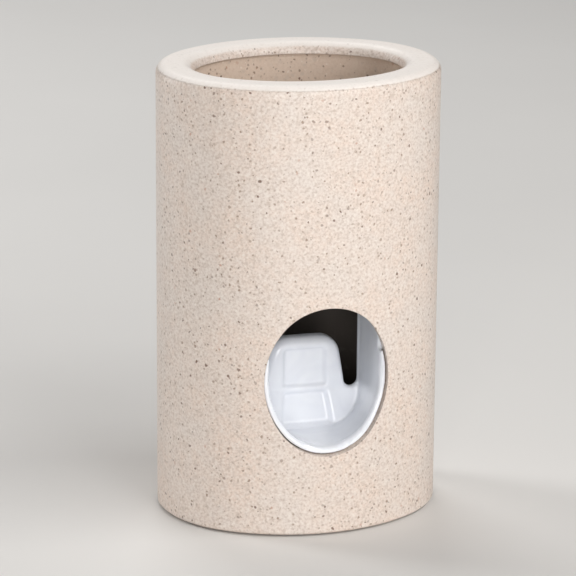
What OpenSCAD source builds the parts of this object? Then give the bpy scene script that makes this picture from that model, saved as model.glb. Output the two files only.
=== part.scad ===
// Countertop toothpaste dispenser with a push lever and a squeeze pump.
// The tube stands head down in the well at the top. A toothbrush head pushed
// into the front opening swings the lever back, and its cross bar squeezes
// the silicone bulb, so paste comes out of the nozzle over the bristles.
// Units are millimetres, +Z is up and the front faces -Y.

/* [Body] */
// Width of the body, side to side
body_w = 75; // [72:0.5:82]
// Depth of the body, front to back
body_d = 63; // [61:0.5:68]
// Height of the whole dispenser
body_h = 120; // [116:1:140]
// Wall of the outer shell
wall = 2.5; // [2:0.1:3]
// Height of the shell's lower edge above the counter
foot_h = 0.5; // [0.3:0.1:1]
// Chamfer round the shell's lower edge
base_chamfer = 0.5; // [0.3:0.1:1]

/* [Top collar] */
// Width of the flat ring round the top hole
ring_w = 9.8; // [9.5:0.1:11]
// Height of the seam between the ring and the shell below the top
seam_down = 1.2; // [0.8:0.1:2]
// Thickness of the ring
ring_t = 3; // [2.4:0.1:3.4]
// Rounding of the top's outer edge, which the ring and the shell share
top_round = 2.6; // [2:0.1:3]
// Rounding of the lip that leads into the tube well
lip_round = 3; // [2:0.1:4]
// Wall of the sleeve that lines the tube well
sleeve_wall = 1.8; // [1.4:0.1:2]
// Step from the ring's lower edge out to the sleeve
sleeve_step = 0.8; // [0.4:0.1:1]
// Height of the spigot that drops into the shell
spigot_h = 5; // [3:0.5:8]
// Wall of that spigot
spigot_t = 1.4; // [1:0.1:1.6]

/* [Brush opening] */
// Width of the opening in the front
opening_w = 33.4; // [30:0.2:36]
// Height of the opening
opening_h = 40; // [38:0.5:44]
// Height of the opening's centre above the counter
opening_z = 41.8; // [40:0.2:44]

/* [Push lever] */
// Wall of the lever's cup and arms
cup_t = 1.2; // [1:0.1:1.3]
// Depth of the cup's rim behind the body's surface
rim_in = 1.1; // [1:0.1:1.6]
// Depth of the cup's floor behind the body's axis plane, towards the front
floor_y = -8; // [-10:0.5:-7]
// Thickness of the cup's floor
floor_t = 1.8; // [1.5:0.1:2.2]
// Height at which the floor starts to lean forward
slope_z = 32.8; // [32:0.2:34]
// Lean of the lower floor from the vertical
slope_deg = 15; // [10:1:22]
// Width of the arms' back flanges beside the window
flange_w = 0.2; // [0.1:0.1:0.6]
// Width of the slot on each side of the tongue's root
slot_w = 4.2; // [3.8:0.1:4.4]
// Height of the tongue's top
tongue_top = 46.6; // [46:0.2:48]
// Half the width of the tongue near its top
tongue_half = 10; // [9.4:0.1:10.2]
// Half the width of the tongue's root
root_half = 10.8; // [10.4:0.1:11.2]
// Radius of the tongue's upper corners, seen from the front
tongue_corner = 5.5; // [4.5:0.5:6.5]
// Radius with which the tongue's edges roll back
tongue_roll = 2.6; // [2.2:0.1:3.2]
// Depth of the tongue, front to back
tongue_d = 5; // [4.5:0.5:6]
// Half the width of the recessed finger panels at the ridge
panel_half = 5.6; // [5:0.1:6]
// Depth of the recessed panels
panel_deep = 0.7; // [0.5:0.1:0.9]
// Height of the lever's pivot
pivot_z = 88; // [87:0.5:89]
// Distance of the pivot behind the body's front
pivot_in = 16.5; // [15.5:0.5:17]
// Radius of the arm's round head at the pivot
arm_head_r = 4.5; // [4:0.1:5]
// Radius of the bar that squeezes the bulb
bar_r = 2; // [1.8:0.1:2.2]
// Height of that bar
bar_z = 74; // [73:0.5:75]
// Radius of the soft pad on the bar
pad_r = 3.3; // [3:0.1:3.5]

/* [Pivot] */
// Radius of the pivot pin
pin_r = 1.5; // [1.3:0.1:1.8]
// Thickness of the frame's ears that hold the pin
ear_t = 2.6; // [2:0.1:3]
// Wire radius of the two return springs
wire_r = 0.45; // [0.35:0.05:0.5]
// Turns of each return spring
spring_turns = 4; // [3:1:4]

/* [Pump] */
// Position of the tube's neck and the pump, front to back
pump_y = -4; // [-4.5:0.1:-3.5]
// Radius of the bulb
bulb_r = 9; // [8.5:0.1:9.3]
// Height of the bulb's round part
bulb_h = 17; // [15:0.5:17.5]
// Wall of the bulb
bulb_t = 1.2; // [1:0.1:1.5]
// Lowest point of the outlet's spout
spout_z = 56.6; // [56:0.2:57]
// Reach of the spout in front of the pump's axis
spout_reach = 8; // [6:0.5:9]
// Radius of the paste channel in the outlet
channel_r = 1.5; // [1.2:0.1:1.6]

/* [Inner frame] */
// Height of the deck that carries the pump
deck_z = 94; // [93.5:0.5:95]
// Thickness of the deck
deck_t = 3; // [2.5:0.5:3.5]
// Wall of the dark liner behind the lever
liner_t = 1.6; // [1.2:0.1:1.8]
// Front edge of the liner
liner_front = -18; // [-20:1:-12]
// Thickness of the plate behind the bulb
anvil_t = 2.2; // [2:0.1:3]
// Height of the shelf that holds the outlet
shelf_z = 60; // [59.8:0.1:60.2]
// Thickness of the shelf
shelf_t = 2; // [1.8:0.1:2.2]

/* [Tube adapter] */
// Radius of the bore that takes the tube's neck
neck_r = 6.4; // [5.5:0.1:7]
// Depth of that bore
neck_l = 6.2; // [5:0.2:6.4]
// Wall of the adapter's cup
adapter_t = 2.2; // [1.8:0.1:2.6]
// Radius of the adapter's plug in the deck's socket
plug_r = 7.1; // [6.8:0.1:7.4]
// Height of the socket above the deck
socket_h = 4.4; // [4:0.2:4.8]

/* [Base] */
// Thickness of the base cover
base_t = 3; // [2.6:0.1:3.4]
// Recess of the base cover above the shell's lower edge
base_up = 0.5; // [0.3:0.1:0.8]
// Radius of the rubber feet
pad_foot_r = 5; // [4:0.5:6]
// Radius of the shell's screw bosses
boss_r = 3.6; // [3.2:0.1:4]
// Height of the bosses above the base cover
boss_h = 10; // [6:1:12]
// Radius of the base screws
screw_r = 1.2; // [1:0.1:1.4]

/* [Hidden] */
$fn = 72;

// Named clearances
gap = 0.3;        // between seated or neighbouring pieces
run = 0.05;       // radial clearance of a running pin
side_gap = 0.6;   // between an arm and the ear beside it
rim_gap = 0.8;    // between the cup and the shell's inner face
rim_play = 0.45;  // between the cup's rim and the edge of the opening
over = 1;         // how far a cut runs past the face it opens

// Four-arc oval of width w and depth d. Its four centres stand off the middle in
// the ratio 3 to 4, so the arcs meet on rays of slope 4:3 and run into each other.
function unit(w, d) = (w - d) / 4;
function end_r(w, d) = d / 2 - unit(w, d);
function flat_r(w, d) = d / 2 + 4 * unit(w, d);

// Points in from the body's surface by "inset": one by a side arc, "a" degrees from the
// X axis, and one by the front or back arc, "a" degrees from the Y axis
function side_point(inset, a, sx, sy) = [
    sx * (3 * unit(body_w, body_d) + (end_r(body_w, body_d) - inset) * cos(a)),
    sy * (end_r(body_w, body_d) - inset) * sin(a)];
function front_point(inset, a, sx, sy) = [
    sx * (flat_r(body_w, body_d) - inset) * sin(a),
    sy * ((flat_r(body_w, body_d) - inset) * cos(a) - 4 * unit(body_w, body_d))];

// The four screws in the base, the four feet and the four screws in the deck
function base_screw(sx, sy) = side_point(wall + boss_r * 0.75, base_angle, sx, sy);
function foot(sx, sy) = front_point(wall + gap + pad_foot_r + 1, foot_angle, sx, sy);
function deck_screw(sx, sy) =
    side_point(liner_out + liner_t + deck_head_r + gap, screw_angle, sx, sy);

seam_z = body_h - seam_down;
ring_low = body_h - ring_t;
rebate = 1.3;
cover_z = foot_h + base_up;
cover_top = cover_z + base_t;
cover_head_t = 1.3;
screw_seat = cover_z + cover_head_t + gap;
boss_top = cover_top + boss_h;
base_angle = 48;
foot_angle = 24;
foot_sink = 0.7;

deck_top = deck_z + deck_t;
liner_out = wall + gap;
merge = 0.5;      // how far a rib or a wall runs into what carries it
ear_top = deck_z + merge;
ear_r = arm_head_r + merge;
screw_angle = 20;
deck_head_r = 1.9;
deck_head_t = 1.2;
deck_grip = 7;
deck_screw_l = deck_t + deck_grip;
thread_r = 0.9;
post_r = 2.2;
post_top = ring_low + 0.4;

pivot_y = pivot_in - body_d / 2;
cup_out = opening_w / 2 - rim_play;
cup_in = cup_out - cup_t;
cup_low = opening_z - opening_h / 2 - 0.4;
cup_corner = 9.7;
floor_back = floor_y + floor_t;
window_half = cup_in - flange_w;
slot_x = window_half - slot_w / 2;
slot_end_z = slope_z - 0.4 + slot_w / 2;
root_z = slope_z + 0.8;
root_r = 3;
root_roll = 0.4;
panel_down = 2.8;
panel_top = tongue_top - panel_down;
ridge = 0.9;
panel_corner = 1;
panel_soft = 0.7;
panel_flare = 1.2;
waist_z = opening_z + opening_h / 2 + 1.2;
lever_top = pivot_z + arm_head_r + over;
bulb_neck = 5;
bulb_z = shelf_z + shelf_t + bulb_neck + bulb_h / 2;
bar_y = pump_y - bulb_r - gap - pad_r;

ear_x = cup_out + side_gap;
clip_gap = 0.2;
clip_t = 0.6;
clip_w = 1.4;
pin_end = 0.8;
pin_half = ear_x + ear_t + clip_gap + clip_t + pin_end;
coil_r = pin_r + 0.7 + wire_r;
coil_pitch = 2 * wire_r + 0.15;
coil_x = cup_in - side_gap - wire_r - coil_pitch * spring_turns;
pad_l = 2 * (coil_x - wire_r - side_gap);

spigot_r = 4.8;
spigot_bore = 3.4;
spigot_l = 8;
bulb_stretch = 0.1;
bulb_corner = 4.5;
neck_in = spigot_r + bulb_stretch;
clamp_up = 4.5;
clamp_h = 2.4;
clamp_t = 0.8;
anvil_y = pump_y + bulb_r + gap;
anvil_half = 10;
gusset_t = 2;
gusset_deep = 9;
outlet_r = 3.1;
outlet_l = 6;
flange_r = 6;
flange_t = 1;
shank_r = 4;
spout_w = 6.4;
tip_r = 2.6;
tip_l = 2;
valve_hole_r = 0.9;
socket_in = plug_r + 0.35;
socket_t = 2;
plug_z = deck_top + 1.4;
adapter_seat = deck_top + socket_h + 0.2;
adapter_flange = 1.5;
ring_wire_r = 0.6;
groove_z = plug_z + 1.1;
groove_h = 2 * ring_wire_r + 0.2;
cup_floor = adapter_seat + adapter_flange;
head_r = 2.4;

// Wedge that bounds a flatter arc, with its tip at the arc's centre
module flat_wedge(w, d) {
    c = 4 * unit(w, d);
    polygon([[0, -c], [1.2 * w, 1.6 * w - c], [-1.2 * w, 1.6 * w - c]]);
}

// Flat oval
module oval(w, d) {
    for (s = [0, 180])
        rotate(s) {
            translate([3 * unit(w, d), 0]) circle(end_r(w, d));
            intersection() {
                translate([0, -4 * unit(w, d)]) circle(flat_r(w, d));
                flat_wedge(w, d);
            }
        }
}

// Solid of the body's oval with the half section that is given; x = 0 of the section
// is the body's surface, and inwards is negative
module oval_form() {
    module turned(r) {
        rotate_extrude()
            intersection() {
                translate([r, 0]) children();
                square([2 * r, 2 * body_h]);
            }
    }
    for (s = [0, 180])
        rotate([0, 0, s]) {
            translate([3 * unit(body_w, body_d), 0, 0]) turned(end_r(body_w, body_d)) children();
            intersection() {
                translate([0, -4 * unit(body_w, body_d), 0])
                    turned(flat_r(body_w, body_d)) children();
                linear_extrude(2 * body_h) flat_wedge(body_w, body_d);
            }
        }
}

// Plate of the body's own oval, in from its surface by "inset"
module body_plate(inset, z0, z1) {
    translate([0, 0, z0])
        linear_extrude(z1 - z0) oval(body_w - 2 * inset, body_d - 2 * inset);
}

// Upright oval of the brush opening, grown by "grow", from y0 towards the front
module opening_plug(grow, y0, length) {
    translate([0, y0, opening_z])
        rotate([90, 0, 0])
            linear_extrude(length)
                rotate(90) oval(opening_h + 2 * grow, opening_w + 2 * grow);
}

// The same outline with straight sides above its middle
module cup_plug(grow, y0, length) {
    half = opening_w / 2 + grow;
    intersection() {
        opening_plug(grow, y0, length);
        translate([-half - over, y0 - length - over, 0])
            cube([2 * half + 2 * over, length + 2 * over, opening_z]);
    }
    translate([-half, y0 - length, opening_z])
        cube([2 * half, length, lever_top - opening_z]);
}

// Outline of the cup from front to back, in from its outside by "inset": the opening's own
// where it passes the shell, and a fuller one with round corners at the floor
module cup_form(inset) {
    half = cup_out - inset;
    front_y = wall + rim_gap - body_d / 2;
    thin = 0.1;
    cup_plug(-rim_play - inset, floor_back, body_d);
    hull() {
        intersection() {
            opening_plug(-rim_play - inset, front_y, thin);
            translate([-body_w / 2, front_y - over, 0]) cube([body_w, 2 * over, opening_z]);
        }
        translate([0, floor_back, 0])
            rotate([90, 0, 0])
                linear_extrude(thin) {
                    for (s = [-1, 1])
                        translate([s * (cup_out - cup_corner), cup_low + cup_corner])
                            circle(cup_corner - inset);
                    translate([-half, opening_z - thin]) square([2 * half, thin]);
                }
    }
}

// Corner of a square minus its inscribed quarter circle, for rounding an edge
module corner_cut(r) {
    difference() {
        square([r + over, r + over]);
        circle(r);
    }
}

// Half section that the rounding of the top's outer edge leaves between z0 and z1
module top_section(z0, z1) {
    difference() {
        translate([-body_d, z0]) square([body_d, z1 - z0]);
        translate([-top_round, body_h - top_round]) corner_cut(top_round);
    }
}

// Extrudes a (y, z) outline along X from x0 to x1
module side_view(x0, x1) {
    translate([x0, 0, 0])
        rotate([90, 0, 90])
            linear_extrude(x1 - x0) children();
}

// Round-cornered rectangle, drawn about its middle
module round_rect(w, h, r) {
    square([w - 2 * r, h], center = true);
    square([w, h - 2 * r], center = true);
    for (x = [-1, 1], y = [-1, 1])
        translate([x * (w / 2 - r), y * (h / 2 - r)]) circle(r);
}

// Pan-head screw, head down, with its shank up the +Z axis from the seat
module screw(r, head, head_t, length) {
    difference() {
        translate([0, 0, -head_t]) cylinder(r = head, h = head_t);
        for (a = [0, 90])
            rotate([0, 0, a])
                translate([0, 0, -head_t + 0.3])
                    cube([head * 1.1, head * 0.28, 0.8], center = true);
    }
    cylinder(r = r, h = length);
}

module outer_shell() {
    color([0.91, 0.87, 0.81])
    difference() {
        union() {
            difference() {
                oval_form()
                    difference() {
                        top_section(foot_h, seam_z);
                        translate([-base_chamfer, foot_h - over])
                            polygon([[0, over], [base_chamfer, over + base_chamfer],
                                [base_chamfer + over, over + base_chamfer], [base_chamfer + over, 0], [0, 0]]);
                    }
                body_plate(wall, foot_h - over, ring_low);
                body_plate(rebate, ring_low - over, seam_z + over);
            }
            intersection() {
                for (sx = [-1, 1], sy = [-1, 1])
                    translate(concat(base_screw(sx, sy), cover_top)) cylinder(r = boss_r, h = boss_h);
                body_plate(wall / 2, cover_top, boss_top);
            }
        }
        opening_plug(0, liner_front, body_d);
        for (sx = [-1, 1], sy = [-1, 1])
            translate(concat(base_screw(sx, sy), cover_top - over))
                cylinder(r = screw_r, h = boss_h - 1 + over);
    }
}

module top_collar() {
    color([0.93, 0.90, 0.86])
    difference() {
        union() {
            oval_form() top_section(seam_z, body_h);
            body_plate(rebate + run, ring_low, seam_z + merge);
            body_plate(ring_w - sleeve_step - sleeve_wall, deck_top + gap, seam_z);
            difference() {
                body_plate(wall + 0.2, ring_low - spigot_h, seam_z);
                body_plate(wall + 0.2 + spigot_t, ring_low - spigot_h - over, ring_low);
            }
            for (sx = [-1, 1], sy = [-1, 1])
                translate(concat(deck_screw(sx, sy), deck_top + gap))
                    cylinder(r = post_r, h = post_top - deck_top - gap);
        }
        // the well, with the lip that leads into it
        oval_form() {
            translate([-body_d, ring_low - over])
                square([body_d - ring_w, ring_t + 2 * over]);
            translate([-body_d, deck_top - over])
                square([body_d - ring_w + sleeve_step, ring_low - deck_top + over]);
            translate([-ring_w - over, body_h - lip_round])
                difference() {
                    square([lip_round + over, lip_round + over]);
                    translate([lip_round + over, 0]) circle(lip_round);
                }
        }
        for (sx = [-1, 1], sy = [-1, 1])
            translate(concat(deck_screw(sx, sy), deck_top - over))
                cylinder(r = thread_r, h = deck_screw_l - deck_t + 2 * over);
    }
}

module inner_frame() {
    color([0.13, 0.12, 0.11])
    difference() {
        union() {
            body_plate(liner_out, deck_z, deck_top);
            // dark liner behind and beside the lever
            difference() {
                body_plate(liner_out, cover_top, deck_z + merge);
                body_plate(liner_out + liner_t, cover_top - over, deck_z + over);
                translate([-body_w, liner_front - body_d, 0])
                    cube([2 * body_w, body_d, body_h]);
                for (sx = [-1, 1], sy = [-1, 1])
                    translate(concat(base_screw(sx, sy), 0)) cylinder(r = boss_r + gap, h = boss_top + gap);
            }
            // ears for the pivot pin
            for (s = [-1, 1])
                side_view(s > 0 ? ear_x : -ear_x - ear_t, s > 0 ? ear_x + ear_t : -ear_x) {
                    translate([pivot_y, pivot_z]) circle(ear_r);
                    translate([pivot_y - ear_r, pivot_z]) square([2 * ear_r, ear_top - pivot_z]);
                }
            // plate behind the bulb, with its two gussets and the outlet's shelf
            translate([-anvil_half, anvil_y, shelf_z])
                cube([2 * anvil_half, anvil_t, deck_z + merge - shelf_z]);
            for (s = [-1, 1])
                side_view(s > 0 ? anvil_half - gusset_t : -anvil_half,
                    s > 0 ? anvil_half : gusset_t - anvil_half)
                    polygon([[anvil_y + anvil_t / 2, shelf_z],
                        [anvil_y + anvil_t + gusset_t, shelf_z],
                        [anvil_y + anvil_t + gusset_deep, deck_z + merge],
                        [anvil_y + anvil_t / 2, deck_z + merge]]);
            translate([-anvil_half, pump_y - flange_r, shelf_z])
                cube([2 * anvil_half, anvil_y + anvil_t / 2 - pump_y + flange_r, shelf_t]);
            // spigot for the bulb and socket for the tube adapter
            translate([0, pump_y, deck_z - spigot_l]) cylinder(r = spigot_r, h = spigot_l + merge);
            translate([0, pump_y, deck_top - merge])
                cylinder(r = socket_in + socket_t, h = socket_h + merge);
        }
        translate([0, pump_y, deck_z - spigot_l - over])
            cylinder(r = spigot_bore, h = spigot_l + deck_t + 2 * over);
        translate([0, pump_y, deck_top]) cylinder(r = socket_in, h = socket_h + over);
        // open slot that the outlet's shank slides into
        translate([0, pump_y, shelf_z - over])
            cylinder(r = shank_r + 0.15, h = shelf_t + 2 * over);
        translate([-shank_r - 0.15, pump_y - flange_r - over, shelf_z - over])
            cube([2 * shank_r + 0.3, flange_r + over, shelf_t + 2 * over]);
        translate([-pin_half - over, pivot_y, pivot_z])
            rotate([0, 90, 0]) cylinder(r = pin_r + run, h = 2 * pin_half + 2 * over);
        for (sx = [-1, 1], sy = [-1, 1])
            translate(concat(deck_screw(sx, sy), deck_z - over))
                cylinder(r = thread_r + 0.4, h = deck_t + 2 * over);
    }
}

module base_cover() {
    color([0.90, 0.86, 0.80])
    difference() {
        body_plate(wall + gap, cover_z, cover_top);
        for (sx = [-1, 1], sy = [-1, 1]) {
            translate(concat(base_screw(sx, sy), cover_z - over)) {
                cylinder(r = screw_r + 0.2, h = base_t + 2 * over);
                cylinder(r = head_r + gap, h = screw_seat - cover_z + over);
            }
            translate(concat(foot(sx, sy), cover_z - over))
                cylinder(r = pad_foot_r + 0.1, h = foot_sink + over);
        }
    }
}

module foot_pads() {
    color([0.2, 0.2, 0.2])
    for (sx = [-1, 1], sy = [-1, 1])
        translate(concat(foot(sx, sy), 0)) cylinder(r = pad_foot_r, h = cover_z + foot_sink);
}

module base_screws() {
    color("silver")
    for (sx = [-1, 1], sy = [-1, 1])
        translate(concat(base_screw(sx, sy), screw_seat))
            screw(screw_r - 0.03, head_r, cover_head_t, boss_top - screw_seat - 2 * over);
}

module frame_screws() {
    color("silver")
    for (sx = [-1, 1], sy = [-1, 1])
        translate(concat(deck_screw(sx, sy), deck_z))
            screw(thread_r - 0.03, deck_head_r, deck_head_t, deck_screw_l);
}

// Tongue with rolled top and sides that widens to its root, smaller all round by "inset"
module tongue_form(inset) {
    module disc(r, roll) {
        rotate([-90, 0, 0])
            rotate_extrude($fn = 48)
                difference() {
                    square([r, tongue_d]);
                    translate([r - roll, roll]) mirror([0, 1]) corner_cut(roll);
                }
    }
    translate([0, floor_y + inset, 0])
        hull()
            for (s = [-1, 1]) {
                translate([s * (tongue_half - tongue_corner), 0, tongue_top - tongue_corner])
                    disc(tongue_corner - inset, tongue_roll - inset);
                translate([s * (root_half - root_r), 0, root_z])
                    disc(root_r - inset, root_roll);
            }
}

// Recess with sloping sides between the heights low and top, sunk into the face y = 0
module panel_cut(low, top, low_half, top_half) {
    deep = panel_deep + over;
    hull()
        for (s = [-1, 1], p = [[low, low_half, 1], [top, top_half, -1]])
            translate([s * (p[1] - panel_corner), panel_deep, p[0] + p[2] * panel_corner])
                rotate([90, 0, 0])
                    cylinder(r1 = panel_corner, r2 = panel_corner + panel_soft * deep / panel_deep,
                        h = deep, $fn = 32);
}

// Solid in front of the cup's floor
module floor_front(back, low) {
    run_z = slope_z - low;
    side_view(-cup_out - over, cup_out + over)
        polygon([[-body_d, low], [back - run_z * tan(slope_deg), low], [back, slope_z],
            [back, lever_top], [-body_d, lever_top]]);
}

module push_lever() {
    low = cup_low - over;
    lower_l = (slope_z - cup_low - cup_t) / cos(slope_deg);
    color([0.94, 0.95, 0.97])
    difference() {
        union() {
            difference() {
                intersection() {
                    cup_form(0);
                    floor_front(floor_back, low);
                    union() {
                        body_plate(wall + rim_gap, low, lever_top);
                        // rim that stands in the opening
                        intersection() {
                            opening_plug(-rim_play, floor_back, body_d);
                            body_plate(rim_in, low, waist_z);
                        }
                    }
                    side_view(-cup_out - over, cup_out + over) {
                        polygon([[-body_d, low], [-body_d, waist_z], [pivot_y - arm_head_r, pivot_z],
                            [pivot_y + arm_head_r, pivot_z], [floor_back, waist_z], [floor_back, low]]);
                        translate([pivot_y, pivot_z]) circle(arm_head_r);
                    }
                }
                intersection() {
                    cup_form(cup_t);
                    floor_front(floor_y, low);
                }
                // window between the arms and the slots beside the tongue
                translate([0, floor_back + over, 0])
                    rotate([90, 0, 0])
                        linear_extrude(floor_t + over + merge) {
                            translate([-window_half, slot_end_z])
                                square([2 * window_half, pivot_z]);
                            for (s = [-1, 1])
                                translate([s * slot_x, slot_end_z]) circle(slot_w / 2);
                        }
            }
            difference() {
                tongue_form(0);
                tongue_form(floor_t);
            }
            translate([-cup_out + cup_t / 2, bar_y, bar_z])
                rotate([0, 90, 0]) cylinder(r = bar_r, h = 2 * cup_out - cup_t);
        }
        // recessed finger panels, one on the tongue and one on the sloping floor
        translate([0, floor_y, 0])
            panel_cut(slope_z + ridge, panel_top, panel_half, panel_half);
        intersection() {
            translate([0, floor_y, slope_z])
                rotate([-slope_deg, 0, 0])
                    panel_cut(-lower_l, -ridge, panel_half + panel_flare, panel_half + panel_flare / 6);
            cup_form(cup_t + merge);
        }
        translate([-cup_out - over, pivot_y, pivot_z])
            rotate([0, 90, 0]) cylinder(r = pin_r + run, h = 2 * cup_out + 2 * over);
    }
}

module press_pad() {
    color([0.75, 0.77, 0.80])
    translate([-pad_l / 2, bar_y, bar_z])
        rotate([0, 90, 0])
            difference() {
                cylinder(r = pad_r, h = pad_l);
                translate([0, 0, -over]) cylinder(r = bar_r + run, h = pad_l + 2 * over);
            }
}

module pivot_pin() {
    color("silver")
    translate([-pin_half, pivot_y, pivot_z])
        rotate([0, 90, 0]) cylinder(r = pin_r, h = 2 * pin_half);
}

module pin_clips() {
    color("dimgray")
    for (s = [-1, 1])
        translate([s * (ear_x + ear_t + clip_gap + clip_t / 2) - clip_t / 2, pivot_y, pivot_z])
            rotate([0, 90, 0])
                rotate([0, 0, 30])
                    rotate_extrude(angle = 300)
                        translate([pin_r + 0.02, 0]) square([clip_w, clip_t]);
}

// Torsion spring round the pin: one leg bears on the bar, the other under the deck
module return_springs() {
    reach = norm([bar_y - pivot_y, bar_z - pivot_z]);
    a0 = atan2(bar_z - pivot_z, bar_y - pivot_y)
        + acos((coil_r - bar_r - wire_r - 0.2) / reach);
    a1 = 360 * spring_turns - 30;
    leg0 = reach + 0.5;
    leg1 = (deck_z - gap - wire_r - pivot_z - coil_r * sin(a1)) / cos(a1);
    steps = ceil((a1 - a0) / 20);
    path = concat(
        [[-leg0, a0, 0]],
        [for (i = [0 : steps]) let (a = a0 + (a1 - a0) * i / steps)
            [0, a, coil_pitch * (a - a0) / 360]],
        [[leg1, a1, coil_pitch * (a1 - a0) / 360]]);
    sides = 6;
    rings = [for (p = path) [for (k = [0 : sides - 1])
        let (b = 360 * k / sides, rad = coil_r + wire_r * cos(b))
            [coil_x + p[2] + wire_r * sin(b),
             pivot_y + rad * cos(p[1]) - p[0] * sin(p[1]),
             pivot_z + rad * sin(p[1]) + p[0] * cos(p[1])]]];
    n = len(path);
    color("lightgray")
    for (m = [0, 1])
        mirror([m, 0, 0])
            polyhedron(
                points = [for (ring = rings) for (p = ring) p],
                faces = concat(
                    [[for (k = [0 : sides - 1]) k]],
                    [for (i = [0 : n - 2]) for (k = [0 : sides - 1])
                        [i * sides + k, (i + 1) * sides + k, (i + 1) * sides + (k + 1) % sides,
                         i * sides + (k + 1) % sides]],
                    [[for (k = [sides - 1 : -1 : 0]) (n - 1) * sides + k]]));
}

// Half section of the bulb, smaller all round by "inset"
module bulb_section(inset) {
    r = bulb_r - inset;
    h = bulb_h - 2 * inset;
    c = bulb_corner - inset;
    translate([0, bulb_z - h / 2]) {
        square([r - c, h]);
        translate([0, c]) square([r, h - 2 * c]);
        translate([r - c, c]) circle(c);
        translate([r - c, h - c]) circle(c);
    }
}

module pump_bulb() {
    low = shelf_z + shelf_t + flange_t + 0.2;
    color([0.86, 0.86, 0.84])
    translate([0, pump_y, 0])
        rotate_extrude()
            intersection() {
                translate([0, low - over]) square([bulb_r + over, body_h]);
                difference() {
                    union() {
                        bulb_section(0);
                        translate([0, low])
                            square([outlet_r + bulb_stretch + bulb_t, bulb_z - low]);
                        translate([0, bulb_z])
                            square([neck_in + bulb_t, deck_z - gap - bulb_z]);
                    }
                    bulb_section(bulb_t);
                    translate([-over, low - over])
                        square([outlet_r + bulb_stretch + over, bulb_z - low]);
                    translate([-over, bulb_z]) square([neck_in + over, deck_z - bulb_z]);
                }
            }
}

module bulb_clamp() {
    color("silver")
    translate([0, pump_y, deck_z - clamp_up])
        rotate_extrude()
            translate([neck_in + bulb_t + run, 0]) square([clamp_t, clamp_h]);
}

module outlet_nozzle() {
    top = shelf_z + shelf_t;
    elbow_z = spout_z + 1;
    elbow_h = shelf_z - 0.2 - elbow_z;
    channel_z = (elbow_z + shelf_z) / 2;
    color([0.93, 0.94, 0.95])
    difference() {
        union() {
            translate([0, pump_y, top]) cylinder(r = flange_r - 0.5, h = flange_t);
            translate([0, pump_y, elbow_z]) cylinder(r = shank_r, h = top + merge - elbow_z);
            translate([0, pump_y, top]) cylinder(r = outlet_r, h = outlet_l);
            translate([-spout_w / 2, pump_y - spout_reach, elbow_z])
                cube([spout_w, spout_reach, elbow_h]);
            translate([0, pump_y - spout_reach, elbow_z]) cylinder(r = spout_w / 2, h = elbow_h);
            translate([0, pump_y - spout_reach, spout_z]) cylinder(r = tip_r, h = tip_l);
        }
        translate([0, pump_y, channel_z])
            cylinder(r = channel_r, h = top + outlet_l + over - channel_z);
        translate([0, pump_y, channel_z])
            rotate([90, 0, 0]) cylinder(r = channel_r * 0.7, h = spout_reach);
        translate([0, pump_y - spout_reach, spout_z - over])
            cylinder(r = channel_r, h = channel_z - spout_z + over);
    }
}

module outlet_valve() {
    color([0.80, 0.82, 0.84])
    translate([0, pump_y - spout_reach, spout_z + 0.1])
        difference() {
            cylinder(r = channel_r - 0.03, h = 0.9);
            translate([-channel_r, -0.08, -over]) cube([2 * channel_r - 0.6, 0.16, over + 0.5]);
        }
}

module inlet_valve() {
    color([0.80, 0.82, 0.84])
    translate([0, pump_y, deck_top + 0.02]) {
        cylinder(r = spigot_bore + 1.2, h = 0.5);
        translate([0, 0, 0.2]) cylinder(r = 1, h = 0.8);
    }
}

module valve_cage() {
    color([0.93, 0.94, 0.95])
    translate([0, pump_y, deck_top + 0.55])
        difference() {
            cylinder(r = socket_in - 0.15, h = 0.75);
            for (a = [0 : 60 : 300])
                rotate([0, 0, a])
                    translate([socket_in / 2 - gap, 0, -over])
                        cylinder(r = valve_hole_r, h = 4 * over);
            translate([0, 0, -over]) cylinder(r = valve_hole_r + 0.2, h = 4 * over);
        }
}

module neck_adapter() {
    top = cup_floor + neck_l;
    color([0.93, 0.94, 0.95])
    translate([0, pump_y, 0])
        rotate_extrude()
            difference() {
                union() {
                    translate([0, plug_z]) square([plug_r, adapter_seat - plug_z + merge]);
                    translate([0, adapter_seat]) square([socket_in + socket_t, adapter_flange]);
                    translate([neck_r, cup_floor - merge]) square([adapter_t, neck_l + merge]);
                }
                translate([-1, plug_z - over]) square([1 + channel_r, top]);
                translate([plug_r - 1.5 * ring_wire_r - run, groove_z])
                    square([3 * ring_wire_r, groove_h]);
            }
}

module adapter_ring() {
    color([0.25, 0.25, 0.25])
    translate([0, pump_y, groove_z + groove_h / 2])
        rotate_extrude() translate([plug_r - ring_wire_r / 2, 0]) circle(ring_wire_r);
}

outer_shell();
top_collar();
inner_frame();
base_cover();
foot_pads();
base_screws();
frame_screws();
push_lever();
press_pad();
pivot_pin();
pin_clips();
return_springs();
pump_bulb();
bulb_clamp();
outlet_nozzle();
outlet_valve();
inlet_valve();
valve_cage();
neck_adapter();
adapter_ring();
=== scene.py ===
import math

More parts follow.
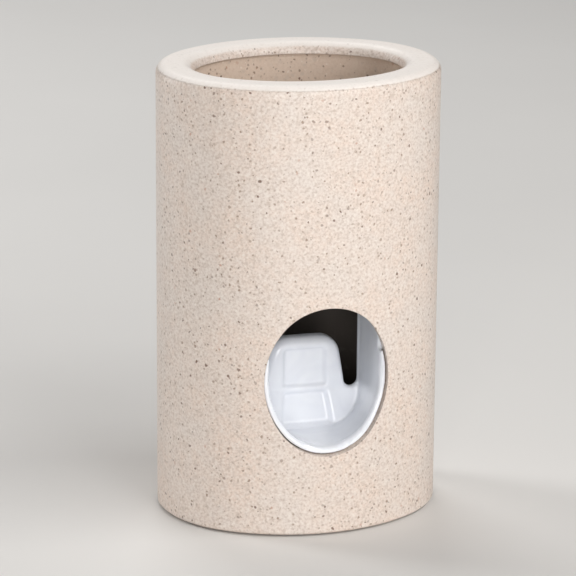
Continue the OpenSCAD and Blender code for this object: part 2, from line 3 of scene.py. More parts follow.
import bpy
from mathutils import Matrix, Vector


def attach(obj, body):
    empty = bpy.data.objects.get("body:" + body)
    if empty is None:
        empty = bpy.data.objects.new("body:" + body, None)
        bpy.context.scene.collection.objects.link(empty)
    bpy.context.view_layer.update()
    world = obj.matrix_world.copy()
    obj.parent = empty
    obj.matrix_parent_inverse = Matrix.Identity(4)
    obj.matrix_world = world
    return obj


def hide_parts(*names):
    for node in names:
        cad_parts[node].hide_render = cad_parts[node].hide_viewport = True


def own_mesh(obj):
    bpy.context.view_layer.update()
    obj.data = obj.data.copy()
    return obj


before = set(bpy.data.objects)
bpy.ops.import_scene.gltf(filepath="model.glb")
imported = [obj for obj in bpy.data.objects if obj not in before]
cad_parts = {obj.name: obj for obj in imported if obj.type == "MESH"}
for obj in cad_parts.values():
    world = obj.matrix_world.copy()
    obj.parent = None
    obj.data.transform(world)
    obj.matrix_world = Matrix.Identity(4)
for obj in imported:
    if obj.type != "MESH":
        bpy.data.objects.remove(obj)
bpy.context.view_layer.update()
print("frame loaded:", len(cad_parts), "nodes")

# Camera at the photograph's angle. Lengths in metres, angles in degrees.
camera = {
    "azimuth": -16.0,
    "elevation": 16.22,
    "roll": 0.454,
    "distance": 0.8536,
    "lens": 201.3,
    "sensor": 36.0,
    "nearest": 0.05,
    "aim": (0.0, 0.0, 0.060),
    "shiftX": -0.0159,
    "shiftY": -0.0101,
}


def makeCamera(c):
    a, e = math.radians(c["azimuth"]), math.radians(c["elevation"])
    away = Vector((math.sin(a) * math.cos(e), -math.cos(a) * math.cos(e), math.sin(e)))
    data = bpy.data.cameras.new("camera")
    data.lens = c["lens"]
    data.sensor_width = c["sensor"]
    data.clip_start = c["nearest"]
    data.shift_x = c["shiftX"]
    data.shift_y = c["shiftY"]
    cam = bpy.data.objects.new("camera", data)
    cam.location = Vector(c["aim"]) + away * c["distance"]
    cam.rotation_euler = away.to_track_quat("Z", "Y").to_euler()
    cam.rotation_euler.rotate_axis("Z", math.radians(c["roll"]))
    bpy.context.scene.collection.objects.link(cam)
    bpy.context.scene.camera = cam


makeCamera(camera)
print("camera placed")


# Small helpers for node trees
def toLinear(level):
    v = level / 255
    return v / 12.92 if v <= 0.04045 else ((v + 0.055) / 1.055) ** 2.4


def colour(rgb):
    return (*[toLinear(level) for level in rgb], 1.0)


def add(tree, kind, **settings):
    node = tree.nodes.new(kind)
    for key, value in settings.items():
        setattr(node, key, value)
    return node


def feed(tree, socket, value):
    if isinstance(value, bpy.types.NodeSocket):
        tree.links.new(value, socket)
    else:
        socket.default_value = value


def maths(tree, operation, a, b):
    node = add(tree, "ShaderNodeMath", operation=operation)
    for socket, value in zip(node.inputs, (a, b)):
        feed(tree, socket, value)
    return node.outputs[0]


def remap(tree, value, fromMin, fromMax, toMin=0.0, toMax=1.0, smooth=False):
    node = add(tree, "ShaderNodeMapRange", interpolation_type="SMOOTHSTEP" if smooth else "LINEAR")
    ends = {"Value": value, "From Min": fromMin, "From Max": fromMax, "To Min": toMin, "To Max": toMax}
    for name, v in ends.items():
        feed(tree, node.inputs[name], v)
    return node.outputs["Result"]


def mixColours(tree, factor, a, b, blend="MIX"):
    node = add(tree, "ShaderNodeMix", data_type="RGBA", blend_type=blend)
    feed(tree, node.inputs["Factor"], factor)
    feed(tree, node.inputs["A"], a)
    feed(tree, node.inputs["B"], b)
    return node.outputs["Result"]


def noise(tree, vector, scale, detail=2.0, roughness=0.5, distortion=0.0):
    node = add(tree, "ShaderNodeTexNoise")
    feed(tree, node.inputs["Vector"], vector)
    values = {"Scale": scale, "Detail": detail, "Roughness": roughness, "Distortion": distortion}
    for name, v in values.items():
        feed(tree, node.inputs[name], v)
    return node


def newGroup(name, inputs, outputs):
    group = bpy.data.node_groups.new(name, "ShaderNodeTree")
    for label, kind, value in inputs:
        socket = group.interface.new_socket(label, in_out="INPUT", socket_type=kind)
        if value is not None:
            socket.default_value = value
    for label, kind in outputs:
        group.interface.new_socket(label, in_out="OUTPUT", socket_type=kind)
    return group, add(group, "NodeGroupInput").outputs, add(group, "NodeGroupOutput").inputs


def place(tree, group, **values):
    node = add(tree, "ShaderNodeGroup", node_tree=group)
    for key, value in values.items():
        feed(tree, node.inputs[key], value)
    return node.outputs


# Irregular specks in a random share of Voronoi cells. Scale is cells per metre.
speckShape = {
    "jitterScale": 1.7,
    "clumpScale": 0.11,
    "clumpRange": (0.35, 0.65),
    "smallest": 0.45,
    "softEdge": (0.55, 1.05),
}


def makeSpecks(s):
    group, give, take = newGroup(
        "strawSpecks",
        [("Vector", "NodeSocketVector", None), ("Scale", "NodeSocketFloat", 1000.0),
         ("Share", "NodeSocketFloat", 0.3), ("Size", "NodeSocketFloat", 0.3),
         ("Ragged", "NodeSocketFloat", 0.3), ("Clumping", "NodeSocketFloat", 0.5)],
        [("Mask", "NodeSocketFloat"), ("Tone", "NodeSocketFloat")])
    finer = maths(group, "MULTIPLY", give["Scale"], s["jitterScale"])
    jitter = noise(group, give["Vector"], finer, detail=1.0)
    offset = add(group, "ShaderNodeVectorMath", operation="SUBTRACT")
    group.links.new(jitter.outputs["Color"], offset.inputs[0])
    offset.inputs[1].default_value = (0.5, 0.5, 0.5)
    sized = add(group, "ShaderNodeVectorMath", operation="SCALE")
    group.links.new(offset.outputs[0], sized.inputs[0])
    feed(group, sized.inputs["Scale"], maths(group, "DIVIDE", give["Ragged"], give["Scale"]))
    moved = add(group, "ShaderNodeVectorMath", operation="ADD")
    group.links.new(give["Vector"], moved.inputs[0])
    group.links.new(sized.outputs[0], moved.inputs[1])
    cells = add(group, "ShaderNodeTexVoronoi")
    group.links.new(moved.outputs[0], cells.inputs["Vector"])
    group.links.new(give["Scale"], cells.inputs["Scale"])
    chance = add(group, "ShaderNodeSeparateColor")
    group.links.new(cells.outputs["Color"], chance.inputs[0])
    coarser = maths(group, "MULTIPLY", give["Scale"], s["clumpScale"])
    drift = noise(group, give["Vector"], coarser).outputs[0]
    swing = maths(group, "MULTIPLY", remap(group, drift, *s["clumpRange"], -1.0, 1.0), give["Clumping"])
    share = maths(group, "MULTIPLY", give["Share"], maths(group, "ADD", swing, 1.0))
    there = maths(group, "LESS_THAN", chance.outputs[0], share)
    growth = remap(group, chance.outputs[1], 0.0, 1.0, s["smallest"], 1.0)
    radius = maths(group, "MULTIPLY", give["Size"], growth)
    reach = maths(group, "DIVIDE", cells.outputs["Distance"], radius)
    spot = remap(group, reach, *s["softEdge"], 1.0, 0.0, smooth=True)
    feed(group, take["Mask"], maths(group, "MULTIPLY", spot, there))
    feed(group, take["Tone"], chance.outputs[2])
    return group


# Fine moulded texture with slow waviness, as a height for a Bump node
grainShape = {
    "detail": 3.0,
    "roughness": 0.6,
    "waveScale": 0.02,
}


def makeGrain(s):
    group, give, take = newGroup(
        "mouldGrain",
        [("Vector", "NodeSocketVector", None), ("Scale", "NodeSocketFloat", 3000.0),
         ("Waviness", "NodeSocketFloat", 0.3)],
        [("Height", "NodeSocketFloat"), ("Variation", "NodeSocketFloat")])
    fine = noise(group, give["Vector"], give["Scale"], s["detail"], s["roughness"]).outputs[0]
    coarser = maths(group, "MULTIPLY", give["Scale"], s["waveScale"])
    slow = noise(group, give["Vector"], coarser).outputs[0]
    waves = maths(group, "MULTIPLY", slow, give["Waviness"])
    feed(group, take["Height"], maths(group, "ADD", fine, waves))
    feed(group, take["Variation"], slow)
    return group


# Thin scuffs: noise stretched two ways, each by a turn and a scale, that passes a threshold
# only here and there
scuffShape = {
    "ways": ((0.4, (1.0, 1.0, 0.06)), (1.9, (0.06, 1.0, 1.0))),
    "lineRange": (0.63, 0.72),
    "patchScale": 55.0,
    "patchRange": (0.4, 0.65),
}


def makeScuffs(s):
    group, give, take = newGroup(
        "fineScuffs",
        [("Vector", "NodeSocketVector", None), ("Scale", "NodeSocketFloat", 400.0),
         ("Amount", "NodeSocketFloat", 0.5)],
        [("Mask", "NodeSocketFloat")])
    masks = []
    for turn, stretch in s["ways"]:
        lay = add(group, "ShaderNodeMapping")
        group.links.new(give["Vector"], lay.inputs["Vector"])
        lay.inputs["Rotation"].default_value = (turn, turn * 0.7, turn * 0.3)
        lay.inputs["Scale"].default_value = stretch
        lines = noise(group, lay.outputs[0], give["Scale"]).outputs[0]
        masks.append(remap(group, lines, *s["lineRange"], smooth=True))
    both = maths(group, "MAXIMUM", masks[0], masks[1])
    cloud = noise(group, give["Vector"], s["patchScale"], detail=1.0).outputs[0]
    patch = remap(group, cloud, *s["patchRange"])
    worn = maths(group, "MULTIPLY", both, patch)
    feed(group, take["Mask"], maths(group, "MULTIPLY", worn, give["Amount"]))
    return group


# Flecks of dust on faces that look up
dustShape = {
    "upRange": (0.2, 0.95),
    "detail": 4.0,
    "roughness": 0.7,
    "fleckRange": (0.5, 0.75),
}


def makeDust(s):
    group, give, take = newGroup(
        "lyingDust",
        [("Vector", "NodeSocketVector", None), ("Scale", "NodeSocketFloat", 900.0),
         ("Amount", "NodeSocketFloat", 0.3)],
        [("Mask", "NodeSocketFloat")])
    facing = add(group, "ShaderNodeSeparateXYZ")
    group.links.new(add(group, "ShaderNodeNewGeometry").outputs["Normal"], facing.inputs[0])
    up = remap(group, facing.outputs["Z"], *s["upRange"])
    cloud = noise(group, give["Vector"], give["Scale"], s["detail"], s["roughness"]).outputs[0]
    lying = maths(group, "MULTIPLY", up, remap(group, cloud, *s["fleckRange"]))
    feed(group, take["Mask"], maths(group, "MULTIPLY", lying, give["Amount"]))
    return group


specks = makeSpecks(speckShape)
grain = makeGrain(grainShape)
scuffs = makeScuffs(scuffShape)
dust = makeDust(dustShape)
print("shader groups built")


def newMaterial(name, roughness, specular, **plain):
    mat = bpy.data.materials.new(name)
    mat.use_nodes = True
    tree = mat.node_tree
    shader = tree.nodes["Principled BSDF"]
    shader.inputs["Roughness"].default_value = roughness
    shader.inputs["Specular IOR Level"].default_value = specular
    for key, value in plain.items():
        shader.inputs[key.replace("_", " ")].default_value = value
    where = add(tree, "ShaderNodeTexCoord").outputs["Object"]
    return mat, tree, shader, where


def addBump(tree, shader, height, p):
    bump = add(tree, "ShaderNodeBump")
    bump.inputs["Strength"].default_value = p["bumpStrength"]
    bump.inputs["Distance"].default_value = p["bumpDepth"]
    feed(tree, bump.inputs["Height"], height)
    rounded = add(tree, "ShaderNodeBevel", samples=6)
    rounded.inputs["Radius"].default_value = p["edge"]
    tree.links.new(rounded.outputs[0], bump.inputs["Normal"])
    tree.links.new(bump.outputs[0], shader.inputs["Normal"])


def layDust(tree, where, d):
    return place(tree, dust, Vector=where, Scale=d["scale"], Amount=d["amount"])["Mask"]


def addWear(tree, where, w):
    return place(tree, scuffs, Vector=where, Scale=w["scale"], Amount=w["amount"])["Mask"]


def addGrain(tree, where, g):
    return place(tree, grain, Vector=where, Scale=g["scale"], Waviness=g["waviness"])


# Pale straw-filled plastic of the body. The collar is plainer on its flat ring; under the ring, in the
# sleeve of the tube well, a darker, browner tint is painted shade. Scales are per metre, lengths in
# metres.
wheat = {
    "base": (224, 212, 203),
    "warm": (233, 211, 195),
    "cool": (226, 214, 204),
    "toneScale": 70.0,
    "blotchScale": 520.0,
    "blotchRange": (0.2, 0.75),
    "mottleScale": 1500.0,
    "mottleSpread": 0.24,
    "mottleStrength": 0.8,
    "mottleDark": (194, 176, 162),
    "mottlePale": (241, 232, 223),
    "roughness": 0.42,
    "roughnessSpread": 0.05,
    "specular": 0.45,
    "coat": 0.06,
    "coatRoughness": 0.3,
    "ragged": 0.45,
    "faintest": 0.4,
    "layers": {
        "pale": {"scale": 900.0, "share": 0.30, "size": 0.33, "clumping": 0.3,
                 "colour": (246, 238, 229), "strength": 0.5},
        "faint": {"scale": 430.0, "share": 0.50, "size": 0.40, "clumping": 0.5,
                  "colour": (204, 187, 173), "strength": 0.5},
        "fine": {"scale": 720.0, "share": 0.8, "size": 0.33, "clumping": 0.55,
                 "colour": (154, 128, 108), "strength": 0.85},
        "flake": {"scale": 330.0, "share": 0.22, "size": 0.18, "clumping": 0.6,
                  "colour": (186, 132, 102), "strength": 0.7},
        "dark": {"scale": 480.0, "share": 0.52, "size": 0.24, "clumping": 0.7,
                 "colour": (114, 84, 66), "strength": 0.95},
    },
    "sunk": ("fine", "dark"),
    "sunkDepth": 0.6,
    "ringColour": (249, 243, 237),
    "ringFrom": 0.1186,
    "ringFade": 0.0006,
    "ringSpecks": 0.18,
    "ringMatt": 0.22,
    # Painted shade: a darker, browner tint for the sleeve inside the deep tube well
    "wellShadeColour": (222, 199, 178),
    "wellShadeTo": 0.1171,
    "wellShadeFade": 0.0002,
    "wellShadeStrength": 0.7,
    "wear": {"scale": 420.0, "amount": 0.5, "matt": 0.12},
    "dust": {"scale": 900.0, "amount": 0.10, "matt": 0.3, "colour": (214, 209, 202)},
    "grain": {"scale": 2600.0, "waviness": 0.8},
    "bumpDepth": 0.00004,
    "bumpStrength": 0.5,
    "edge": 0.0004,
}


def makeWheat(name, p, cleanTopAndWellShade=False):
    mat, tree, shader, where = newMaterial(
        name, p["roughness"], p["specular"], Coat_Weight=p["coat"], Coat_Roughness=p["coatRoughness"])
    slow = noise(tree, where, p["toneScale"], detail=3.0, roughness=0.55).outputs[0]
    tone = mixColours(tree, remap(tree, slow, 0.35, 0.65), colour(p["cool"]), colour(p["warm"]))
    cloud = noise(tree, where, p["blotchScale"], detail=3.0, roughness=0.65).outputs[0]
    body = mixColours(tree, remap(tree, cloud, 0.3, 0.7, *p["blotchRange"]), tone, colour(p["base"]))
    mottle = noise(tree, where, p["mottleScale"], detail=2.0, roughness=0.6).outputs[0]
    for side, tint in ((1, "mottlePale"), (-1, "mottleDark")):
        level = remap(tree, mottle, 0.5, 0.5 + side * p["mottleSpread"], 0.0, p["mottleStrength"])
        body = mixColours(tree, level, body, colour(p[tint]))
    cover = None
    if cleanTopAndWellShade:
        height = add(tree, "ShaderNodeSeparateXYZ")
        tree.links.new(where, height.inputs[0])
        z = height.outputs["Z"]
        cover = remap(tree, z, p["ringFrom"], p["ringFrom"] + p["ringFade"], 1.0, p["ringSpecks"])
        # Painted shade: the sleeve under the ring, inside the tube well, is tinted darker and browner
        wellShade = remap(tree, z, p["wellShadeTo"] - p["wellShadeFade"], p["wellShadeTo"], p["wellShadeStrength"], 0.0)
        body = mixColours(tree, wellShade, body, colour(p["wellShadeColour"]))
        body = mixColours(tree, cover, colour(p["ringColour"]), body)
    relief = None
    for layer, q in p["layers"].items():
        spot = place(tree, specks, Vector=where, Scale=q["scale"], Share=q["share"], Size=q["size"],
                     Ragged=p["ragged"], Clumping=q["clumping"])
        deep = remap(tree, spot["Tone"], 0.0, 1.0, q["strength"] * p["faintest"], q["strength"])
        level = maths(tree, "MULTIPLY", spot["Mask"], deep)
        if cleanTopAndWellShade:
            level = maths(tree, "MULTIPLY", level, cover)
        body = mixColours(tree, level, body, colour(q["colour"]))
        if layer in p["sunk"]:
            relief = level if relief is None else maths(tree, "MAXIMUM", relief, level)
    wear = addWear(tree, where, p["wear"])
    lying = layDust(tree, where, p["dust"])
    feed(tree, shader.inputs["Base Color"], mixColours(tree, lying, body, colour(p["dust"]["colour"])))
    skin = addGrain(tree, where, p["grain"])
    smoother, rougher = p["roughness"] - p["roughnessSpread"], p["roughness"] + p["roughnessSpread"]
    rough = remap(tree, skin["Variation"], 0.3, 0.7, smoother, rougher)
    rough = maths(tree, "ADD", rough, maths(tree, "MULTIPLY", wear, p["wear"]["matt"]))
    if cleanTopAndWellShade:
        flat = maths(tree, "SUBTRACT", 1.0, cover)
        rough = maths(tree, "ADD", rough, maths(tree, "MULTIPLY", flat, p["ringMatt"]))
    rough = maths(tree, "ADD", rough, maths(tree, "MULTIPLY", lying, p["dust"]["matt"]))
    feed(tree, shader.inputs["Roughness"], rough)
    sunk = maths(tree, "MULTIPLY", relief, p["sunkDepth"])
    addBump(tree, shader, maths(tree, "SUBTRACT", skin["Height"], sunk), p)
    return mat


# Glossy white plastic of the lever, and the duller white of the small hidden parts
gloss = {
    "base": (244, 247, 252),
    "shade": (237, 240, 247),
    "flowScale": 90.0,
    "flowTwist": 1.2,
    "roughness": 0.16,
    "smoother": 0.03,
    "rougher": 0.05,
    "specular": 0.5,
    "coat": 0.25,
    "coatRoughness": 0.06,
    "wear": {"scale": 600.0, "amount": 0.6, "matt": 0.2},
    "dust": {"scale": 1500.0, "amount": 0.2, "matt": 0.35, "colour": (214, 212, 208)},
    "grain": {"scale": 160.0, "waviness": 1.5},
    "bumpDepth": 0.00006,
    "bumpStrength": 0.12,
    "edge": 0.0005,
}
satin = dict(gloss, roughness=0.3, base=(228, 230, 232))


def makeGloss(name, p):
    mat, tree, shader, where = newMaterial(
        name, p["roughness"], p["specular"], Coat_Weight=p["coat"], Coat_Roughness=p["coatRoughness"])
    flow = noise(tree, where, p["flowScale"], detail=3.0, distortion=p["flowTwist"]).outputs[0]
    body = mixColours(tree, remap(tree, flow, 0.35, 0.7), colour(p["base"]), colour(p["shade"]))
    wear = addWear(tree, where, p["wear"])
    lying = layDust(tree, where, p["dust"])
    feed(tree, shader.inputs["Base Color"], mixColours(tree, lying, body, colour(p["dust"]["colour"])))
    smoother, rougher = p["roughness"] - p["smoother"], p["roughness"] + p["rougher"]
    rough = remap(tree, flow, 0.3, 0.7, smoother, rougher)
    rough = maths(tree, "ADD", rough, maths(tree, "MULTIPLY", wear, p["wear"]["matt"]))
    rough = maths(tree, "ADD", rough, maths(tree, "MULTIPLY", lying, p["dust"]["matt"]))
    feed(tree, shader.inputs["Roughness"], rough)
    addBump(tree, shader, addGrain(tree, where, p["grain"])["Height"], p)
    return mat


# Matt black plastic of the inner frame, spark-eroded
black = {
    "base": (82, 75, 69),
    "worn": (92, 86, 80),
    "roughness": 0.62,
    "roughnessSpread": 0.06,
    "specular": 0.35,
    "wear": {"scale": 500.0, "amount": 0.8, "polish": 0.15},
    "dust": {"scale": 900.0, "amount": 0.35, "colour": (112, 106, 98)},
    "grain": {"scale": 2200.0, "waviness": 0.4},
    "bumpDepth": 0.00006,
    "bumpStrength": 0.6,
    "edge": 0.0003,
}


def makeBlack(name, p):
    mat, tree, shader, where = newMaterial(name, p["roughness"], p["specular"])
    skin = addGrain(tree, where, p["grain"])
    wear = addWear(tree, where, p["wear"])
    lying = layDust(tree, where, p["dust"])
    body = mixColours(tree, wear, colour(p["base"]), colour(p["worn"]))
    feed(tree, shader.inputs["Base Color"], mixColours(tree, lying, body, colour(p["dust"]["colour"])))
    smoother, rougher = p["roughness"] - p["roughnessSpread"], p["roughness"] + p["roughnessSpread"]
    rough = remap(tree, skin["Variation"], 0.3, 0.7, smoother, rougher)
    polish = maths(tree, "MULTIPLY", wear, p["wear"]["polish"])
    feed(tree, shader.inputs["Roughness"], maths(tree, "SUBTRACT", rough, polish))
    addBump(tree, shader, skin["Height"], p)
    return mat


# Moulded rubber, grey or black, with a pale bloom
rubber = {
    "dark": (46, 45, 44),
    "grey": (148, 150, 152),
    "bloomColour": (170, 168, 164),
    "bloomScale": 240.0,
    "bloomStrength": 0.22,
    "roughness": 0.78,
    "roughnessRange": (0.7, 0.86),
    "specular": 0.3,
    "sheen": 0.15,
    "sheenRoughness": 0.5,
    "dust": {"scale": 900.0, "amount": 0.5, "colour": (188, 184, 178)},
    "grain": {"scale": 1700.0, "waviness": 0.6},
    "bumpDepth": 0.00005,
    "bumpStrength": 0.5,
    "edge": 0.0003,
}


def makeRubber(name, p, tint):
    mat, tree, shader, where = newMaterial(
        name, p["roughness"], p["specular"],
        Sheen_Weight=p["sheen"], Sheen_Roughness=p["sheenRoughness"])
    skin = addGrain(tree, where, p["grain"])
    lying = layDust(tree, where, p["dust"])
    cloud = noise(tree, where, p["bloomScale"], detail=3.0).outputs[0]
    bloom = remap(tree, cloud, 0.4, 0.75, 0.0, p["bloomStrength"])
    body = mixColours(tree, bloom, colour(p[tint]), colour(p["bloomColour"]))
    feed(tree, shader.inputs["Base Color"], mixColours(tree, lying, body, colour(p["dust"]["colour"])))
    rough = remap(tree, skin["Variation"], 0.3, 0.7, *p["roughnessRange"])
    feed(tree, shader.inputs["Roughness"], rough)
    addBump(tree, shader, skin["Height"], p)
    return mat


# Milky silicone of the bulb and the valves
silicone = {
    "base": (216, 216, 211),
    "deep": (198, 198, 190),
    "cloudScale": 320.0,
    "roughness": 0.38,
    "roughnessRange": (0.32, 0.46),
    "specular": 0.4,
    "inner": 0.35,
    "innerDepth": 0.004,
    "innerRadius": (1.0, 0.85, 0.7),
    "dust": {"scale": 1600.0, "amount": 0.5, "colour": (190, 186, 178)},
    "grain": {"scale": 900.0, "waviness": 1.2},
    "bumpDepth": 0.00004,
    "bumpStrength": 0.3,
    "edge": 0.0003,
}


def makeSilicone(name, p):
    mat, tree, shader, where = newMaterial(
        name, p["roughness"], p["specular"],
        Subsurface_Weight=p["inner"], Subsurface_Scale=p["innerDepth"])
    shader.inputs["Subsurface Radius"].default_value = p["innerRadius"]
    cloud = noise(tree, where, p["cloudScale"], detail=3.0).outputs[0]
    lying = layDust(tree, where, p["dust"])
    body = mixColours(tree, remap(tree, cloud, 0.3, 0.7), colour(p["base"]), colour(p["deep"]))
    feed(tree, shader.inputs["Base Color"], mixColours(tree, lying, body, colour(p["dust"]["colour"])))
    feed(tree, shader.inputs["Roughness"], remap(tree, cloud, 0.3, 0.7, *p["roughnessRange"]))
    addBump(tree, shader, addGrain(tree, where, p["grain"])["Height"], p)
    return mat


# Turned or drawn steel with fine lines along one axis
steel = {
    "pale": (186, 188, 190),
    "dark": (142, 144, 148),
    "wornColour": (206, 206, 204),
    "lineScale": 2600.0,
    "roughness": 0.26,
    "smoother": 0.07,
    "rougher": 0.1,
    "specular": 0.5,
    "wear": {"scale": 900.0, "amount": 0.6},
    "bumpDepth": 0.00002,
    "bumpStrength": 0.4,
    "edge": 0.0002,
}


def makeSteel(name, p, stretch, tint="pale"):
    mat, tree, shader, where = newMaterial(name, p["roughness"], p["specular"], Metallic=1.0)
    lay = add(tree, "ShaderNodeMapping")
    tree.links.new(where, lay.inputs["Vector"])
    lay.inputs["Scale"].default_value = stretch
    lines = noise(tree, lay.outputs[0], p["lineScale"], detail=3.0).outputs[0]
    wear = addWear(tree, where, p["wear"])
    body = mixColours(tree, remap(tree, lines, 0.35, 0.65), colour(p[tint]), colour(p["dark"]))
    feed(tree, shader.inputs["Base Color"], mixColours(tree, wear, body, colour(p["wornColour"])))
    smoother, rougher = p["roughness"] - p["smoother"], p["roughness"] + p["rougher"]
    feed(tree, shader.inputs["Roughness"], remap(tree, lines, 0.3, 0.7, smoother, rougher))
    addBump(tree, shader, lines, p)
    return mat


finishes = {
    "strawShell": makeWheat("strawShell", wheat),
    "strawRingAndWellShade": makeWheat("strawRingAndWellShade", dict(wheat, edge=0.0003), cleanTopAndWellShade=True),
    "glossWhite": makeGloss("glossWhite", gloss),
    "satinWhite": makeGloss("satinWhite", satin),
    "mattBlack": makeBlack("mattBlack", black),
    "darkRubber": makeRubber("darkRubber", rubber, "dark"),
    "greyRubber": makeRubber("greyRubber", rubber, "grey"),
    "milkySilicone": makeSilicone("milkySilicone", silicone),
    "turnedSteel": makeSteel("turnedSteel", steel, (1.0, 0.05, 0.05)),
    "screwSteel": makeSteel("screwSteel", steel, (0.2, 0.2, 1.0)),
    "springSteel": makeSteel("springSteel", steel, (1.0, 1.0, 1.0), "dark"),
}
nodeFinish = {
    "outer_shell": "strawShell",
    "top_collar": "strawRingAndWellShade",
    "base_cover": "strawShell",
    "push_lever": "glossWhite",
    "inner_frame": "mattBlack",
    "foot_pads": "darkRubber",
    "adapter_ring": "darkRubber",
    "press_pad": "greyRubber",
    "pump_bulb": "milkySilicone",
    "outlet_valve": "milkySilicone",
    "inlet_valve": "milkySilicone",
    "outlet_nozzle": "satinWhite",
    "valve_cage": "satinWhite",
    "neck_adapter": "satinWhite",
    "pivot_pin": "turnedSteel",
    "bulb_clamp": "screwSteel",
    "base_screws": "screwSteel",
    "frame_screws": "screwSteel",
    "pin_clips": "springSteel",
    "return_springs": "springSteel",
}


def dress(nodes, chosen):
    for name, finish in chosen.items():
        mesh = nodes[name].data
        mesh.materials.clear()
        mesh.materials.append(finishes[finish])


dress(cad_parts, nodeFinish)
print("materials on", len(nodeFinish), "nodes")


# The lever with the soft edges of a moulded part, made from the CAD lever's own mesh.
# Its arms above the cup keep their edges, so the pin and the springs still fit. In metres.
softLever = {
    "voxel": 0.00032,
    "rounds": 20,
    "swell": 0.0002,
    "panels": (
        {"low": 0.0338, "top": 0.0438, "lowHalf": 0.0057, "topHalf": 0.0056},
        {"low": 0.0236, "top": 0.0318, "lowHalf": 0.0068, "topHalf": 0.0058},
    ),
    "panelDepth": 0.0006,
    "panelEdge": 0.0008,
    "frontFacing": -0.3,
    "rimMiddle": 0.0418,
    "rimHalf": (0.01625, 0.01955),
    "rimWidth": 0.0018,
    "rimDrop": 0.0016,
    "rimReach": 0.004,
    "rimStep": 0.0005,
    "rimOutside": 0.0004,
    "rimMargin": 1.3,
    "softBelow": 0.064,
    "fadeOver": 0.006,
}


def applyModifiers(piece):
    graph = bpy.context.evaluated_depsgraph_get()
    final = bpy.data.meshes.new_from_object(piece.evaluated_get(graph))
    piece.modifiers.clear()
    piece.data = final


def ease(distance, width):
    t = min(1.0, max(0.0, distance / width + 0.5))
    return t * t * (3 - 2 * t)


# Normals are read before any point moves, because each move makes Blender work them out again.
def deepenPanels(piece, p):
    facing = [v.normal.y < p["frontFacing"] for v in piece.data.vertices]
    for v in piece.data.vertices:
        if not facing[v.index]:
            continue
        for q in p["panels"]:
            along = (v.co.z - q["low"]) / (q["top"] - q["low"])
            half = q["lowHalf"] + (q["topHalf"] - q["lowHalf"]) * along
            depth = ease(half - abs(v.co.x), p["panelEdge"])
            depth *= ease(v.co.z - q["low"], p["panelEdge"])
            depth *= ease(q["top"] - v.co.z, p["panelEdge"])
            v.co.y += p["panelDepth"] * depth


# Lean the front of the cup's rim inwards, so that the wall runs out into a thin lip.
def leanRim(piece, p):
    rim, front = [], {}
    for v in piece.data.vertices:
        up = v.co.z - p["rimMiddle"]
        share = max(0.01, math.hypot(v.co.x / p["rimHalf"][0], up / p["rimHalf"][1]))
        inward = math.hypot(v.co.x, up) * (1 / share - 1)
        if -p["rimOutside"] < inward < p["rimWidth"] * p["rimMargin"]:
            column = round(v.co.x / p["rimStep"])
            rim.append((v, column, inward))
            front[column] = min(front.get(column, 1.0), v.co.y)
    for v, column, inward in rim:
        fade = max(0.0, 1 - (v.co.y - front[column]) / p["rimReach"])
        v.co.y += p["rimDrop"] * fade * min(1.0, max(0.0, inward / p["rimWidth"]))


def makeSoftLever(p):
    piece = bpy.data.objects.new("softLever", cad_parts["push_lever"].data.copy())
    bpy.context.scene.collection.objects.link(piece)
    remesh = piece.modifiers.new("evenMesh", "REMESH")
    remesh.mode = "VOXEL"
    remesh.voxel_size = p["voxel"]
    applyModifiers(piece)
    deepenPanels(piece, p)
    leanRim(piece, p)
    cup = piece.vertex_groups.new(name="cup")
    for v in piece.data.vertices:
        share = (p["softBelow"] - v.co.z) / p["fadeOver"]
        cup.add([v.index], min(1.0, max(0.0, share)), "REPLACE")
    smooth = piece.modifiers.new("softEdges", "SMOOTH")
    smooth.iterations = p["rounds"]
    smooth.vertex_group = cup.name
    swell = piece.modifiers.new("swell", "DISPLACE")
    swell.mid_level = 0.0
    swell.strength = p["swell"]
    swell.vertex_group = cup.name
    applyModifiers(piece)
    piece.vertex_groups.clear()
    piece.data.materials.clear()
    piece.data.materials.append(finishes["glossWhite"])
    for face in piece.data.polygons:
        face.use_smooth = True
    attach(piece, "lever")
    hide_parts("push_lever")
    return piece


lever = makeSoftLever(softLever)
print("lever softened:", len(lever.data.polygons), "faces")


def makeSoftBulb():
    piece = bpy.data.objects.new("softBulb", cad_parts["pump_bulb"].data.copy())
    bpy.context.scene.collection.objects.link(piece)
    piece.data.materials.clear()
    piece.data.materials.append(finishes["milkySilicone"])
    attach(piece, "housing")
    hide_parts("pump_bulb")
    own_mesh(piece)
    return piece


makeSoftBulb()


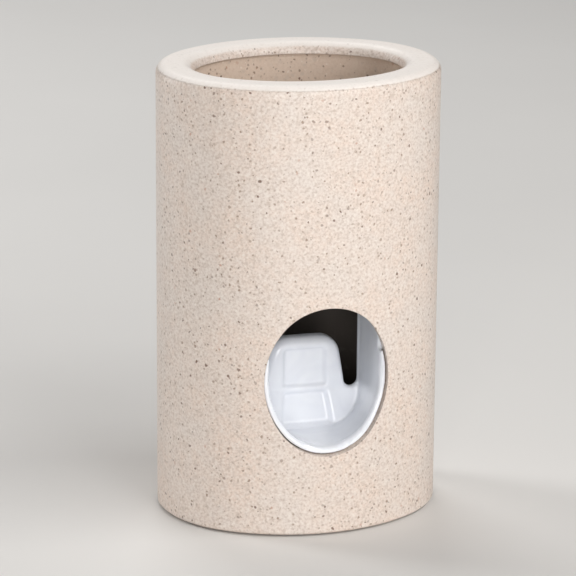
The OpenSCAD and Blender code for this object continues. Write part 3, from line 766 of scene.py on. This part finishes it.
# Floor and lamps. Sizes and distances in metres, power in watts.
studio = {
    "floorColour": (226, 224, 221),
    "floorSize": 3.0,
    "floorRoughness": 0.7,
    "floorSpecular": 0.2,
    "floorCloudScale": 6.0,
    "floorDarkest": 0.97,
    "world": (1.0, 1.0, 1.0),
    "worldStrength": 0.02,
    "lamps": {
        "key": {
            "from": (0.35, -0.95, 0.75), "size": (0.7, 0.7), "power": 4.8, "tint": (1.0, 0.99, 0.98)},
        "front": {
            "from": (-0.28, -1.1, 0.25), "size": (0.5, 0.5), "power": 5.6, "tint": (1.0, 0.99, 0.985)},
        "rightHigh": {
            "from": (0.6, -0.6, 0.7), "size": (0.25, 0.25), "power": 1.3, "tint": (1.0, 0.99, 0.98)},
        "leftRim": {
            "from": (-0.75, 0.6, 0.45), "size": (0.25, 1.0), "power": 5.0, "tint": (1.0, 1.0, 1.0)},
        "backHigh": {
            "from": (0.0, 0.9, 0.9), "size": (0.6, 0.3), "power": 5.2, "tint": (1.0, 1.0, 1.0)},
        "highFront": {
            "from": (0.1, -0.65, 0.95), "size": (0.3, 0.2), "power": 0.8, "tint": (1.0, 0.99, 0.98)},
        "highRight": {
            "from": (0.55, -0.25, 0.95), "size": (0.3, 0.3), "power": 2.3, "tint": (1.0, 0.99, 0.98)},
    },
}


def makeStage(s):
    half = s["floorSize"] / 2
    corners = [(-half, -half, 0), (half, -half, 0), (half, half, 0), (-half, half, 0)]
    mesh = bpy.data.meshes.new("floor")
    mesh.from_pydata(corners, [], [(0, 1, 2, 3)])
    floor = bpy.data.objects.new("floor", mesh)
    bpy.context.scene.collection.objects.link(floor)
    mat, tree, shader, where = newMaterial("paleFloor", s["floorRoughness"], s["floorSpecular"])
    cloud = noise(tree, where, s["floorCloudScale"], detail=3.0).outputs[0]
    soft = remap(tree, cloud, 0.3, 0.7, s["floorDarkest"], 1.0)
    shade = mixColours(tree, 1.0, colour(s["floorColour"]), soft, blend="MULTIPLY")
    feed(tree, shader.inputs["Base Color"], shade)
    mesh.materials.append(mat)
    aim = Vector(camera["aim"])
    for name, lamp in s["lamps"].items():
        data = bpy.data.lights.new(name, "AREA")
        data.shape = "RECTANGLE"
        data.size, data.size_y = lamp["size"]
        data.energy = lamp["power"]
        data.color = lamp["tint"]
        light = bpy.data.objects.new(name, data)
        light.location = lamp["from"]
        light.rotation_euler = (Vector(lamp["from"]) - aim).to_track_quat("Z", "Y").to_euler()
        bpy.context.scene.collection.objects.link(light)
    world = bpy.data.worlds.new("studio")
    bpy.context.scene.world = world
    world.use_nodes = True
    back = world.node_tree.nodes["Background"]
    back.inputs["Color"].default_value = (*s["world"], 1.0)
    back.inputs["Strength"].default_value = s["worldStrength"]


makeStage(studio)
bpy.context.scene.view_settings.view_transform = "Standard"
print("stage and lamps placed")
